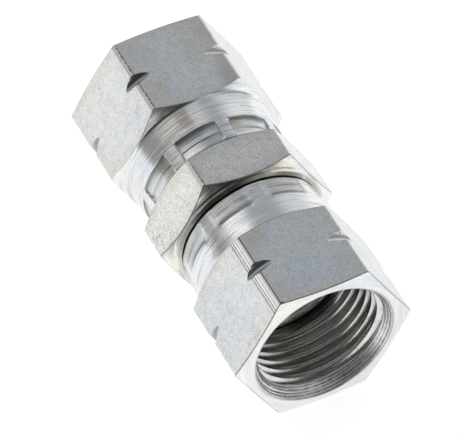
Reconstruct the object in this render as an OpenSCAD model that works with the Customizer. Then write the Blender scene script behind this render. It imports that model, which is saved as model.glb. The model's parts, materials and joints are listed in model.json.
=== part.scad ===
// Straight union with a 37 degree flare seat and a crimped swivel nut at each end.
// It is three pieces: a one-piece turned body, and two nuts whose skirts are crimped
// behind the body's collars, so that they turn freely and can't come off.
// The common axis is X, Z is up, and the origin is the middle of the body on the axis.
// The part lies on one flat of each nut.
// Diameters build on each other from the thread outwards, and stations from the body's
// hexagon outwards, so that collar, lip, skirt and hexagons stay in step.

/* [Thread] */
// Diameter of the thread's roots, which is the size that the thread is called by
thread_major_d = 19.05; // [14:0.05:30]
// Height of the thread, from its roots to its crests
thread_height = 0.775; // [0.5:0.005:1]
// Length of the thread, from its relief to the mouth
thread_l = 10.6; // [8:0.1:16]
// Length of the relief between the end of the body's nose and the thread
relief_l = 1.4; // [1:0.1:3]
// How much deeper than the thread's roots the relief is
relief_extra = 0.1; // [0.05:0.05:0.3]
// How much wider than the thread's roots the countersink's rim is, on the diameter
countersink_extra = 0.85; // [0.3:0.05:1.2]
// Slope of the countersink against the axis
countersink_angle = 45; // [30:1:60]

/* [Body] */
// Length of the body's hexagon along the axis
body_hex_l = 7.2; // [6:0.1:12]
// How much narrower than the nuts' hexagons the body's is, across the flats
body_af_less = 0.2; // [0:0.1:0.6]
// Radius on the long edges of the body's hexagon
body_edge_r = 0.6; // [0.3:0.1:1.2]
// Slope of the turned chamfers on the body's hexagon
body_chamfer_angle = 30; // [20:1:35]
// Distance from the body's flats in to the flat ring on each face of its hexagon
body_ring_inset = 0.3; // [0.1:0.1:0.8]
// How much narrower a collar is than the thread's roots, on the diameter
collar_less = 0.55; // [0.2:0.05:1]
// How far a collar stands out from its neck
collar_step = 1.35; // [1:0.05:1.6]
// Distance from the body's hexagon to the back of a collar's full diameter
collar_back = 5.3; // [4.6:0.1:8]
// Length of a collar's full diameter, up to the end of the nose
collar_l = 4.4; // [3.5:0.1:8]
// Radius in the corner between a neck and the body's hexagon
neck_root_r = 0.5; // [0.2:0.1:1]
// Chamfer on the outer rim of the nose
nose_chamfer = 0.3; // [0.1:0.05:0.4]

/* [Seat and bore] */
// Diameter of the bore through the body
bore_d = 10; // [7:0.1:12]
// Width of the nose between its outside and the mouth of the flare seat
nose_rim_w = 0.65; // [0.5:0.05:1.5]
// Angle between a flare seat and the axis
seat_angle = 37; // [30:1:45]

/* [Swivel nut] */
// Distance from the body's hexagon to a nut's crimped end
nut_gap = 0.6; // [0.3:0.1:1]
// Thickness of the skirt round the collar, before it is crimped
skirt_wall = 1.45; // [1.2:0.05:2.5]
// How far the flats stand outside the skirt
flat_step = 0.2; // [0.1:0.05:0.6]
// Length of the plain skirt, from the dies' marks to where the shoulder meets the flats
plain_skirt_l = 4.1; // [3:0.1:8]
// Radius on the long edges of a nut's hexagon
nut_edge_r = 1.1; // [0.4:0.1:1.6]
// Slope of the shoulder behind the hexagon's corners
shoulder_angle = 30; // [20:1:35]
// Radius between the shoulder and the skirt
shoulder_r = 0.7; // [0.3:0.1:1]
// Distance from a nut's flats in to the flat ring round its mouth
mouth_ring_inset = 0.5; // [0.2:0.1:0.8]
// Slope of the end chamfer outside that ring
mouth_chamfer_angle = 10; // [5:1:20]
// Distance from the mouth to the bottom of the groove turned across the corners
groove_from_mouth = 7.2; // [5:0.1:9]
// Depth of that groove below the corners
groove_depth = 0.72; // [0.4:0.02:1]
// Angle between the two walls of that groove
groove_angle = 118; // [90:1:120]

/* [Crimp] */
// Number of dies that closed each skirt
die_count = 8; // [6:1:10]
// Width of each die as an angle round the axis
die_width = 36; // [20:1:36]
// How far the crimp pulled the skirt in at the front edge of the dies' marks
crimp_front_drop = 0.4; // [0.2:0.05:0.5]
// How much further it pulled the ribs in at the skirt's end
crimp_end_drop = 0.25; // [0.1:0.05:0.3]
// Distance from the front edge of the marks to their bend line
die_front_l = 1.6; // [1:0.1:2]
// Depth of the marks below the ribs between them
die_depth = 0.4; // [0.2:0.05:0.5]
// Extra depth of the marks behind their bend line
die_bend_depth = 0.15; // [0.05:0.05:0.2]
// Turn of the dies' marks about the axis on the front nut
front_die_turn = 1; // [0:1:45]
// Turn of the dies' marks about the axis on the back nut
back_die_turn = 6; // [0:1:45]

/* [Running clearances] */
// Radial clearance between a collar and its nut
collar_clearance = 0.1; // [0.05:0.01:0.1]
// Clearance between the slope behind a collar and the crimped lip
lip_clearance = 0.25; // [0.15:0.05:0.4]
// Radial clearance between a neck and the crimped lip
neck_clearance = 0.3; // [0.2:0.05:0.5]

/* [Hidden] */
$fn = 96;

// Steps along a small arc in an outline
ARC_STEPS = 5;
// How far a cutting shape runs past what it cuts
PAST = 1;
// Sides of a hexagon
SIDES = 6;
// Angle of the slopes behind the collars and inside the lips
LIP_SLOPE = 45;

// Distance from the dies' front edge forward to where the lip's inner slope begins
DIE_TO_LIP = 0.1;
// Gap left between the chamber and the relief's back slope, next to the nose
NOSE_TO_RELIEF = 0.1;

// Radii, from the thread outwards
thread_root_r = thread_major_d / 2;
thread_crest_r = thread_root_r - thread_height;
collar_r = (thread_major_d - collar_less) / 2;
neck_r = collar_r - collar_step;
seat_r = collar_r - nose_rim_w;
lip_r = neck_r + neck_clearance;
chamber_r = collar_r + collar_clearance;
relief_r = max(thread_root_r, chamber_r) + relief_extra;
countersink_r = thread_root_r + countersink_extra / 2;
skirt_r = chamber_r + skirt_wall;
crimp_front_r = skirt_r - crimp_front_drop;
crimp_end_r = crimp_front_r - crimp_end_drop;

// Widths across flats and the radii of the rounded corners: 22 mm with the sizes above
nut_af = 2 * (skirt_r + flat_step);
body_af = nut_af - body_af_less;
nut_corner_r = rounded_corner_r(nut_af, nut_edge_r);
body_corner_r = rounded_corner_r(body_af, body_edge_r);
mouth_ring_r = nut_af / 2 - mouth_ring_inset;
body_ring_r = body_af / 2 - body_ring_inset;
groove_r = nut_corner_r - groove_depth;

// Stations along the axis, from the middle of the body outwards
hex_face_x = body_hex_l / 2;
nut_back_x = hex_face_x + nut_gap;
collar_back_x = hex_face_x + collar_back;
chamber_back_x = collar_back_x + collar_clearance / tan(LIP_SLOPE) - lip_clearance / sin(LIP_SLOPE);
lip_front_x = chamber_back_x - (chamber_r - lip_r) / tan(LIP_SLOPE);
die_edge_x = lip_front_x - DIE_TO_LIP;
die_bend_x = die_edge_x - die_front_l;
shoulder_x = die_edge_x + plain_skirt_l;
nose_x = collar_back_x + collar_l;
thread_end_x = nose_x + relief_l;
mouth_x = thread_end_x + thread_l;
groove_x = mouth_x - groove_from_mouth;

// Radius to the middle of a hexagon's rounded edge
function rounded_corner_r(af, edge_r) = (af / 2 - edge_r) / cos(180 / SIDES) + edge_r;

// Points on an arc about [x, y], from one angle to another
function arc(centre, r, from, to, steps = ARC_STEPS) = [
    for (i = [0:steps])
        centre + r * [cos(from + (to - from) * i / steps), sin(from + (to - from) * i / steps)]
];

// Outline of a hexagon with rounded corners, with flats at top and bottom
function rounded_hexagon(af, edge_r) = [
    for (side = [0:SIDES - 1])
        let (turn = side * 360 / SIDES)
        let (centre = (af / 2 - edge_r) / cos(180 / SIDES) * [cos(turn), sin(turn)])
        each arc(centre, edge_r, turn - 180 / SIDES, turn + 180 / SIDES)
];

// Solid of revolution about X: each outline point is [station along X, radius]
module turned(outline) {
    rotate([90, 0, 90])
        rotate_extrude()
            polygon([for (p = outline) [p[1], p[0]]]);
}

// The same, but only over an angle that is centred on the given one, measured from Y towards Z
module turned_sector(outline, centre_angle, width) {
    rotate([90, 0, 90])
        rotate([0, 0, centre_angle - width / 2])
            rotate_extrude(angle = width)
                polygon([for (p = outline) [p[1], p[0]]]);
}

// Hexagonal bar along X
module hexagonal_bar(af, edge_r, from_x, to_x) {
    translate([from_x, 0, 0])
        rotate([90, 0, 90])
            linear_extrude(to_x - from_x)
                polygon(rounded_hexagon(af, edge_r));
}

// One half of the body's turned outline outside the hexagon: neck, collar and nose
function nipple_outline() = let (
    slope_back_x = collar_back_x - (collar_r - neck_r) / tan(LIP_SLOPE)
) concat(
    [[0, 0], [0, neck_r + neck_root_r], [hex_face_x, neck_r + neck_root_r]],
    arc([hex_face_x + neck_root_r, neck_r + neck_root_r], neck_root_r, 180, 270),
    [
        [slope_back_x, neck_r],
        [collar_back_x, collar_r],
        [nose_x - nose_chamfer, collar_r],
        [nose_x, collar_r - nose_chamfer],
        [nose_x, 0]
    ]
);

// The seat's cone and half of the bore, as a cutting shape
function seat_outline() = let (
    seat_l = (seat_r - bore_d / 2) / tan(seat_angle),
    past_r = PAST * tan(seat_angle)
) [
    [-PAST, 0],
    [-PAST, bore_d / 2],
    [nose_x - seat_l, bore_d / 2],
    [nose_x + PAST, seat_r + past_r],
    [nose_x + PAST, 0]
];

// Turned envelope that chamfers both ends of the body's hexagon
function body_hex_envelope() = let (
    reach = body_corner_r + PAST - body_ring_r,
    chamfer_x = hex_face_x - reach * tan(body_chamfer_angle)
) [
    [-hex_face_x, 0],
    [-hex_face_x, body_ring_r],
    [-chamfer_x, body_corner_r + PAST],
    [chamfer_x, body_corner_r + PAST],
    [hex_face_x, body_ring_r],
    [hex_face_x, 0]
];

// Envelope of a nut: crimped end, skirt, shoulder, corner groove and mouth
function nut_envelope() = let (
    past_r = nut_corner_r + PAST,
    end_chamfer = 0.2,
    shoulder_past_x = shoulder_x + (past_r - nut_af / 2) * tan(shoulder_angle),
    fillet_turn = 90 - shoulder_angle,
    fillet_centre_r = skirt_r + shoulder_r,
    fillet_top_r = fillet_centre_r - shoulder_r * cos(fillet_turn),
    fillet_top_x = shoulder_x + (fillet_top_r - nut_af / 2) * tan(shoulder_angle),
    fillet_centre_x = fillet_top_x - shoulder_r * sin(fillet_turn),
    groove_half_w = (past_r - groove_r) * tan(groove_angle / 2),
    mouth_past_x = mouth_x - (past_r - mouth_ring_r) * tan(mouth_chamfer_angle)
) concat(
    [
        [nut_back_x, 0],
        [nut_back_x, crimp_end_r - end_chamfer],
        [nut_back_x + end_chamfer, crimp_end_r],
        [die_edge_x, crimp_front_r]
    ],
    arc([fillet_centre_x, fillet_centre_r], shoulder_r, 270, 270 + fillet_turn),
    [
        [shoulder_past_x, past_r],
        [groove_x - groove_half_w, past_r],
        [groove_x, groove_r],
        [groove_x + groove_half_w, past_r],
        [mouth_past_x, past_r],
        [mouth_x, mouth_ring_r],
        [mouth_x, 0]
    ]
);

// Inside of a nut: lip, chamber round the collar, thread relief, plain bore and countersink
function nut_inside() = let (
    lip_chamfer = 0.3,
    relief_back_x = nose_x + NOSE_TO_RELIEF,
    relief_slope_l = relief_r - thread_crest_r,
    countersink_l = (countersink_r - thread_crest_r) / tan(countersink_angle),
    past_r = countersink_r + PAST * tan(countersink_angle)
) [
    [nut_back_x - PAST, 0],
    [nut_back_x - PAST, lip_r + lip_chamfer + PAST],
    [nut_back_x + lip_chamfer, lip_r],
    [lip_front_x, lip_r],
    [chamber_back_x, chamber_r],
    [relief_back_x, chamber_r],
    [relief_back_x + relief_r - chamber_r, relief_r],
    [thread_end_x - relief_slope_l, relief_r],
    [thread_end_x, thread_crest_r],
    [mouth_x - countersink_l, thread_crest_r],
    [mouth_x + PAST, past_r],
    [mouth_x + PAST, 0]
];

// Radius over the ribs at a station of the crimped band
function rib_r(x) =
    crimp_end_r + (crimp_front_r - crimp_end_r) * (x - nut_back_x) / (die_edge_x - nut_back_x);

// What one die pressed in: a shallow step at the front edge, then a floor with one bend
function die_mark_outline() = let (
    step_slope = 0.15,
    bend_slope = 0.1,
    floor_bend_r = rib_r(die_bend_x) - die_depth,
    floor_back_r = floor_bend_r - die_bend_depth,
    past_r = crimp_front_r + PAST
) [
    [die_edge_x + step_slope * PAST / die_depth, past_r],
    [die_edge_x - step_slope, crimp_front_r - die_depth],
    [die_bend_x, floor_bend_r],
    [die_bend_x - bend_slope, floor_back_r],
    [nut_back_x - PAST, floor_back_r],
    [nut_back_x - PAST, past_r]
];

// Body: centre hexagon, a nipple on each side with collar and flare seat, and a bore right through
module union_body() {
    color("lightslategray")
        difference() {
            union() {
                intersection() {
                    hexagonal_bar(body_af, body_edge_r, -hex_face_x, hex_face_x);
                    turned(body_hex_envelope());
                }
                turned(nipple_outline());
                rotate([0, 0, 180])
                    turned(nipple_outline());
            }
            turned(seat_outline());
            rotate([0, 0, 180])
                turned(seat_outline());
        }
}

// Swivel nut on the +X side, with the dies' marks turned about the axis by the given angle
module swivel_nut(die_turn) {
    difference() {
        intersection() {
            hexagonal_bar(nut_af, nut_edge_r, nut_back_x, mouth_x);
            turned(nut_envelope());
        }
        turned(nut_inside());
        for (i = [0:die_count - 1])
            turned_sector(die_mark_outline(), die_turn + (i + 0.5) * 360 / die_count, die_width);
    }
}

module front_swivel_nut() {
    color("silver")
        swivel_nut(front_die_turn);
}

module back_swivel_nut() {
    color("silver")
        rotate([0, 0, 180])
            swivel_nut(back_die_turn);
}

union_body();
front_swivel_nut();
back_swivel_nut();
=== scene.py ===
# %% [markdown]
# # Straight union with two crimped swivel nuts
# The part is a hydraulic union in zinc plated steel: a turned body with a hexagon in the middle, and a
# swivel nut on each side. The nuts were cut from hexagonal bar, threaded inside, pushed over the body's
# collars and crimped behind them with eight dies. The packed CAD model gives the frame: its sizes, bodies
# and joints are fixed. This script dresses each of the three solids with a surface that is worked out
# with numpy, and gives it the thread, the small edges and the plating that the real part shows.

# %% Load the packed model
import json

import bmesh
import bpy
import numpy as np
from mathutils import Matrix, Vector

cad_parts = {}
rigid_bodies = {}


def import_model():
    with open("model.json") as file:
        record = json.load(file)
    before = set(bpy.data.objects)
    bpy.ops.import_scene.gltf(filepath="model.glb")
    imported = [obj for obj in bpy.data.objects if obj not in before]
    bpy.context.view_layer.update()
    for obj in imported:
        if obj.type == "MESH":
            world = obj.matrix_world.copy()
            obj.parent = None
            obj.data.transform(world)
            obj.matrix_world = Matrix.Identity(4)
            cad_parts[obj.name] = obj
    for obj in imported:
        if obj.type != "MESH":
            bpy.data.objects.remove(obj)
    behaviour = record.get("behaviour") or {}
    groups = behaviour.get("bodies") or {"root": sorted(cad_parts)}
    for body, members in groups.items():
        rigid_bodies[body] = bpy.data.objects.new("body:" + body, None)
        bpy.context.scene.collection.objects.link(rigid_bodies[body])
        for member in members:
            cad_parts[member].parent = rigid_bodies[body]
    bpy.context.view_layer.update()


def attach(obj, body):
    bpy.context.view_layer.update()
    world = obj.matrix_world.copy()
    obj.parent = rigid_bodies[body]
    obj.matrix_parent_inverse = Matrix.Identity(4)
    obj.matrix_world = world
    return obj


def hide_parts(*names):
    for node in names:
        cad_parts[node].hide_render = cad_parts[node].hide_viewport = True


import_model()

# %% [markdown]
# ## Sizes
# All sizes are in millimetres, the unit of the maker's drawing, and become metres only when a mesh is
# made. A station, X, is a distance along the axis from the middle of the body, on the front side. R is a
# radius and AF a width across flats. The sizes repeat the CAD model's, so the dressed pieces lie where
# the solids are. Where the photograph shows more, the surface leaves the solids by a few tenths: at the
# corners of the hexagons, the nose's chamfer, the shoulder's fillet, the body's inner face, the die marks,
# the groove, and the countersink's cone.

# %% Sizes of the body
MM = 0.001
TURN = 2 * np.pi
BODY_AF, BODY_EDGE_R, BODY_RING_R, HEX_FACE_X = 21.8, 0.3, 10.6, 3.6
FACE_X, FACE_R = 3.96, 10.2
NECK_R, NECK_ROOT_R = 7.9, 0.5
COLLAR_BACK_X, COLLAR_R = 8.9, 9.25
NOSE_X, NOSE_CHAMFER = 13.3, 0.12
SEAT_R, SEAT_END_X, BORE_R = 8.6, 8.523, 5.0
seat_angle = np.degrees(np.arctan((SEAT_R - BORE_R) / (NOSE_X - SEAT_END_X)))
print("body:", 2 * NOSE_X, "mm from nose to nose, seats at", round(seat_angle, 1), "degrees to the axis")

# %% Sizes of a nut
NUT_AF, FRONT_EDGE_R, BACK_EDGE_R = 22.0, 0.4, 0.6
NUT_BACK_X, CRIMP_END_R, CRIMP_FRONT_R, SKIRT_R = 4.2, 10.15, 10.4, 10.8
DIE_BEND_X, DIE_EDGE_X, DIE_HALF = 5.796, 7.396, 18.0
SHOULDER_X, SHOULDER_R, SHOULDER_SLOPE = 11.496, 0.4, np.radians(30)
GROOVE_X, GROOVE_R, GROOVE_HALF, GROOVE_NOSE = 18.1, 11.69, np.radians(40), 0.85
MOUTH_X, MOUTH_RING_R, MOUTH_SLOPE = 25.3, 10.5, np.radians(10)
LIP_CHAMFER, LIP_R, LIP_FRONT_X = 0.3, 8.2, 7.496
CHAMBER_X, CHAMBER_R, RELIEF_BACK_X, RELIEF_R = 8.646, 9.35, 13.4, 9.625
print("overall length", 2 * MOUTH_X, "mm, nuts", NUT_AF, "mm across the flats")

# %% Sizes of the thread and its countersink
PITCH, THREAD_ROOT_R, THREAD_CREST_R = 1.5875, 9.525, 8.75
THREAD_FRONT_X, THREAD_BACK_X = 24.95, 14.3
RIM_R, SINK_SLOPE = 9.95, np.tan(np.radians(30))
print("thread:", round(25.4 / PITCH), "to the inch,", 2 * THREAD_ROOT_R, "mm across the roots")

# %% [markdown]
# ## One grid for every turned piece
# A turned piece is an outline carried round an axis. Here the outline may change with the angle, so one
# grid of rows (along the outline) by columns (round the axis) also gives hexagons and crimped marks. It
# could be made by cutting solids from each other, but a grid keeps every edge on a row of its own, so
# edges stay crisp and small bevels cost one row. The outline is closed, so the grid closes both ways.

# %% Radius of a hexagon and of its rounded corners
def hexagon_radius(angle, across_flats, edge_r):
    """Distance from the axis to a hexagon's outline at each angle. On a flat it is half the width across
    flats over the cosine of the angle from the flat's middle, and near a corner it is where the ray meets
    the small circle that rounds the corner."""
    off = (angle + TURN / 12) % (TURN / 6) - TURN / 12
    centre = (across_flats / 2 - edge_r) / np.cos(np.pi / 6)
    arc_end = np.arctan2(edge_r / 2, centre + edge_r * np.cos(np.pi / 6))
    flat = across_flats / 2 / np.cos(np.pi / 6 - np.abs(off))
    reach = np.sqrt(np.maximum(edge_r**2 - (centre * np.sin(off)) ** 2, 0))
    return np.where(np.abs(off) < arc_end, centre * np.cos(off) + reach, flat)


nut_corners = hexagon_radius(0.0, NUT_AF, np.array([FRONT_EDGE_R, BACK_EDGE_R]))
print("corners of the front and back nut reach", nut_corners.round(3), "mm from the axis")

# %% Columns round the axis
NUT_STEP, BODY_STEP, LEAST_STEP = 1.6, 1.9, 0.2


def columns(keys, step):
    """Angles of the grid's columns: the key angles, of which close ones count as one, and enough even
    steps between them that none is wider than step. Degrees go in and radians come out."""
    keys = np.unique(np.round(np.asarray(keys) % 360, 3))
    keys = keys[np.diff(np.append(keys, keys[0] + 360)) > LEAST_STEP]
    ends = np.append(keys, keys[0] + 360)
    parts = [np.linspace(a, b, int(np.ceil((b - a) / step)), endpoint=False) for a, b in zip(ends, ends[1:])]
    return np.radians(np.concatenate(parts))


def corner_keys(across_flats, edge_r, steps=7):
    """Angles over each rounded corner, so that the corner's arc gets its own columns."""
    centre = (across_flats / 2 - edge_r) / np.cos(np.pi / 6)
    half = np.degrees(np.arctan2(edge_r / 2, centre + edge_r * np.cos(np.pi / 6)))
    return [60 * k + half * t for k in range(6) for t in np.linspace(-1, 1, steps)]


plain = columns(corner_keys(NUT_AF, FRONT_EDGE_R), NUT_STEP)
print("a plain hexagon needs", len(plain), "columns")

# %% Rows along the outline
FLAT, TURNED, INSIDE = 0, 1, 2


class Outline:
    """Rows of a closed outline. Each row holds a station and a radius for every column, the number of the
    finish up to the next row, its mark, which is painted shade and painted reflection in grooves, recesses
    and die marks and along edges, and the row that its last column joins: itself, or on a thread the row
    one pitch on."""

    def __init__(self, angle):
        self.angle, self.x, self.r, self.finish, self.mark, self.joins = angle, [], [], [], [], []

    def add(self, x, r, finish, mark=0.0, joins=None):
        one = np.ones_like(self.angle)
        self.joins.append(len(self.x) if joins is None else joins)
        self.x.append(x * one)
        self.r.append(r * one)
        self.mark.append(mark * one)
        self.finish.append(finish)

    def between(self, end_x, end_r, count, finish, mark=0.0):
        """Adds rows at even steps from the last row, which is left out, up to the given one."""
        x0, r0 = self.x[-1], self.r[-1]
        for t in np.arange(1, count + 1) / count:
            self.add(x0 + (end_x - x0) * t, r0 + (end_r - r0) * t, finish, mark)

    def measure_flats(self, back_x, front_x, across_flats, side):
        """Notes for each point how far the nearest corner is, along the flat's width, and how far the
        flat's nearest edge is. Lean, a sine of six times the angle, is near a corner the same distance
        with a sign, and comes back to zero in the flat's middle, so that it has no jump."""
        signed = (self.angle + TURN / 12) % (TURN / 6) - TURN / 12
        across = across_flats / 2 * (np.tan(np.pi / 6) - np.tan(np.pi / 6 - np.abs(signed)))
        lengthwise = np.minimum(np.array(self.x) - back_x, front_x - np.array(self.x))
        self.corner = across * np.ones_like(lengthwise)
        self.border = np.clip(np.minimum(lengthwise, self.corner), 0, None)
        self.lean = side * across_flats / 9 * np.sin(6 * signed) * np.ones_like(lengthwise)


print("finishes by number: flats", FLAT, "turned faces", TURNED, "thread and bore", INSIDE)

# %% From rows to a mesh
MERGE_GAP = 2e-7
SHARP_ANGLE = np.radians(24)


def grid_faces(joins, rows, cols):
    """Four corners of each face, which joins a row and a column to the next ones. Both wrap round, and the
    last column goes on in the row that joins names."""
    row, col = np.meshgrid(np.arange(rows), np.arange(cols), indexing="ij")
    after = np.roll(np.arange(rows), -1)
    far = np.where(col == cols - 1, joins[row], row)
    far_after = np.where(col == cols - 1, joins[after[row]], after[row])
    right = (col + 1) % cols
    corners = [row * cols + col, far * cols + right, far_after * cols + right, after[row] * cols + col]
    return np.stack(corners, axis=-1).reshape(-1, 4)


def merge_and_measure(mesh):
    """Merges points that lie on each other, and gives the number of open edges and the volume in mm3."""
    shell = bmesh.new()
    shell.from_mesh(mesh)
    bmesh.ops.remove_doubles(shell, verts=shell.verts, dist=MERGE_GAP)
    shell.to_mesh(mesh)
    open_edges = sum(not e.is_manifold for e in shell.edges)
    volume = shell.calc_volume(signed=True) / MM**3
    shell.free()
    return open_edges, volume


def make_piece(name, outline, side, finishes):
    """Turns an outline into a mesh object. A point is (x, r cos angle, r sin angle), and side -1 turns it
    half round the vertical axis. Along is the length of the outline up to each row."""
    x, r = np.array(outline.x), np.array(outline.r)
    y, z = r * np.cos(outline.angle), r * np.sin(outline.angle)
    points = np.stack([side * x, side * y, z], axis=-1).reshape(-1, 3) * MM
    mesh = bpy.data.meshes.new(name)
    mesh.from_pydata(points, [], grid_faces(np.array(outline.joins), *x.shape))
    step = np.hypot(np.diff(x, axis=0, append=x[:1]), np.diff(r, axis=0, append=r[:1]))
    # mark carries each point's painted shade and painted reflection to the finishes
    fields = {"along": np.cumsum(step, axis=0) - step, "mark": np.array(outline.mark)}
    fields.update(border=outline.border, corner=outline.corner, lean=outline.lean)
    for label, values in fields.items():
        values = values.ravel().astype(np.float32)
        mesh.attributes.new(label, "FLOAT", "POINT").data.foreach_set("value", values)
    finish_numbers = np.repeat(np.array(outline.finish), x.shape[1])
    mesh.polygons.foreach_set("material_index", finish_numbers.astype(np.int32))
    open_edges, volume = merge_and_measure(mesh)
    mesh.shade_smooth()
    mesh.set_sharp_from_angle(angle=SHARP_ANGLE)
    for finish in finishes:
        mesh.materials.append(finish)
    piece = bpy.data.objects.new(name, mesh)
    bpy.context.scene.collection.objects.link(piece)
    print(name, len(mesh.polygons), "faces,", open_edges, "open edges, volume", round(volume, 1), "mm3")
    return piece


print("points nearer than", round(MERGE_GAP / MM, 5), "mm are merged")

# %% [markdown]
# ## Shader maths as plain expressions
# A finish is a small program made of nodes. Wiring each Math node by hand hides what it says, so one
# small class wraps a socket and lets Python's own operators add the nodes. Anything else, such as a
# noise or a bump, comes from one method that takes the node's type, its settings and its inputs.

# %% A term of an expression
class Term:
    """A socket of a node tree. Arithmetic on it adds a Math node and gives the new socket back."""

    def __init__(self, finish, socket):
        self.finish, self.socket = finish, socket

    def math(self, operation, *others):
        """Adds a Math node that takes this term first."""
        inputs = dict(enumerate((self, *others)))
        return self.finish.node("ShaderNodeMath", {"operation": operation}, inputs)

    def __add__(self, other):
        return self.math("ADD", other)

    def __sub__(self, other):
        return self.math("SUBTRACT", other)

    def __mul__(self, other):
        return self.math("MULTIPLY", other)

    def __rsub__(self, other):
        return (self * -1) + other

    __radd__ = __add__
    __rmul__ = __mul__

    def ramp(self, low, high, at_low=0.0, at_high=1.0):
        """Goes smoothly from at_low to at_high as the value goes from low to high, and stays there."""
        values = {"Value": self, "From Min": low, "From Max": high, "To Min": at_low, "To Max": at_high}
        return self.finish.node("ShaderNodeMapRange", {"interpolation_type": "SMOOTHSTEP"}, values)


print("a term knows:", [name for name in vars(Term) if name[0] != "_"])

# %% The tree of a finish
class Finish:
    """The material of one kind of surface, or the world's surroundings, as a tree of nodes."""

    def __init__(self, holder):
        holder.use_nodes = True
        self.holder, self.tree = holder, holder.node_tree
        self.tree.nodes.clear()

    def node(self, kind, settings=None, inputs=None, output=0):
        """Adds a node: settings first, then a value or a link for each named or numbered input."""
        made = self.tree.nodes.new(kind)
        for key, value in (settings or {}).items():
            setattr(made, key, value)
        for key, value in (inputs or {}).items():
            if isinstance(value, Term):
                self.tree.links.new(value.socket, made.inputs[key])
            else:
                made.inputs[key].default_value = value
        return Term(self, made.outputs[output]) if made.outputs else made

    def vector(self, operation, *inputs, output=0):
        """Adds a Vector Math node. Output 1 is the number that a length or a product gives."""
        return self.node("ShaderNodeVectorMath", {"operation": operation}, dict(enumerate(inputs)), output)

    def stretched(self, vector, factors):
        """Multiplies each part of a vector by its own factor."""
        return self.vector("MULTIPLY", vector, factors)

    def noise(self, vector, scale, detail, roughness):
        """Adds a noise between 0 and 1, mostly near 0.5, that changes scale times a unit."""
        inputs = {"Vector": vector, "Scale": scale, "Detail": detail, "Roughness": roughness}
        return self.node("ShaderNodeTexNoise", None, inputs)

    def mix(self, factor, first, second):
        """Blends two colours by a factor."""
        inputs = {0: factor, 6: first, 7: second}
        return self.node("ShaderNodeMix", {"data_type": "RGBA"}, inputs, output=2)

    def attribute(self, name):
        """Reads a number that each point of the mesh carries."""
        return self.node("ShaderNodeAttribute", {"attribute_name": name}, None, output=2)

    def station(self, place):
        """How far along the axis a place is."""
        return self.node("ShaderNodeSeparateXYZ", None, {0: place})

    def radius(self, place):
        """How far a place is from the axis: its length without the part along the axis."""
        return self.vector("LENGTH", self.stretched(place, (0, 1, 1)), output=1)


print("a finish knows:", [name for name in vars(Finish) if name[0] != "_"])

# %% [markdown]
# ## Zinc plating
# The plating is a thin metal coat: bright, but satin, with a fine grain, faint bluish and tan clouds from
# the passivating bath, and traces of the tools below it. Each kind of surface shows other traces. The
# flats were drawn through a die, so they are smooth with a grain. Turned faces keep the fine rings of the
# lathe. The thread and bore are darker, since the bath reached them less. A picture of plating wouldn't
# follow the part, so every pattern is worked out from the place on the surface.

# %% Colours of the plating
WHITE = (1.0, 1.0, 1.0, 1)
BLUE_ZINC = (0.66, 0.75, 0.85, 1)
TAN_ZINC = (0.76, 0.70, 0.62, 1)
BROWN_ZINC = (0.52, 0.43, 0.36, 1)
PLUM_ZINC = (0.60, 0.56, 0.60, 1)
CREAM_ZINC = (0.98, 0.92, 0.80, 1)
CREAM_WHITE = (0.98, 0.975, 0.93, 1)
OLIVE_CREAM = (0.80, 0.785, 0.70, 1)
OLIVE_ZINC = (0.46, 0.45, 0.31, 1)
BRIGHT_ZINC = (0.97, 0.97, 0.95, 1)
GRAIN_ZINC = (0.465, 0.48, 0.49, 1)
DARK_ZINC = (0.15, 0.155, 0.14, 1)
SHADE_AND_SPECK_DARK = (0.04, 0.04, 0.035, 1)
print("lightest tone", max(BRIGHT_ZINC[:3]), "darkest tone", min(SHADE_AND_SPECK_DARK[:3]))

# %% The start and the end of a finish
def start_plating(name, tint, blue=0.5, tan=0.3):
    """Begins a plating finish and gives its object coordinates in millimetres and its clouded colour."""
    finish = Finish(bpy.data.materials.new(name))
    place = finish.node("ShaderNodeTexCoord", None, None, output=3)
    place = finish.stretched(place, (1 / MM, 1 / MM, 1 / MM))
    blue_cloud = finish.noise(place, 0.15, 4.0, 0.65).ramp(0.40, 0.68) * blue
    stretched = finish.stretched(place, (1.3, 1.0, 1.0))
    tan_cloud = finish.noise(stretched, 0.21, 4.0, 0.7).ramp(0.50, 0.76) * tan
    colour = finish.mix(blue_cloud, tint, BLUE_ZINC)
    return finish, place, finish.mix(tan_cloud, colour, TAN_ZINC)


def end_plating(finish, colour, roughness, height):
    """Closes a finish: the height, in millimetres, becomes a bump, and all of it is one metal."""
    bump = finish.node("ShaderNodeBump", None, {"Strength": 1.0, "Distance": MM, "Height": height})
    inputs = {"Base Color": colour, "Roughness": roughness, "Metallic": 1.0, "Normal": bump}
    shader = finish.node("ShaderNodeBsdfPrincipled", None, inputs)
    finish.node("ShaderNodeOutputMaterial", None, {"Surface": shader})
    return finish.holder


print("a height of 1 is a bump of", MM, "m")

# %% Lines, patches, stains and painted light
def towards(finish, direction, aim, near, far):
    """1 where the direction is within the near angle of the aim, 0 beyond the far one, smooth between."""
    facing = finish.vector("DOT_PRODUCT", direction, Vector(aim).normalized(), output=1)
    return facing.ramp(float(np.cos(np.radians(far))), float(np.cos(np.radians(near))))


def line_at(term, centre, half_width):
    """A fine line: 1 where the term is at the centre, 0 beyond the half width, smooth between."""
    return (term - centre).math("ABSOLUTE").ramp(0.3 * half_width, half_width, 1.0, 0.0)


def patch(finish, place, turn, half_turn, station, half_length):
    """A soft patch on the outside: 1 near an angle round the axis, in degrees, and a station along it, in
    mm, and 0 away."""
    out = finish.vector("NORMALIZE", finish.stretched(place, (0, 1, 1)))
    aim = (0, np.cos(np.radians(turn)), np.sin(np.radians(turn)))
    away = (finish.station(place) - station).math("ABSOLUTE")
    round_it = towards(finish, out, aim, 0.5 * half_turn, 1.3 * half_turn)
    return round_it * away.ramp(0.6 * half_length, 1.2 * half_length, 1.0, 0.0)


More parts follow.
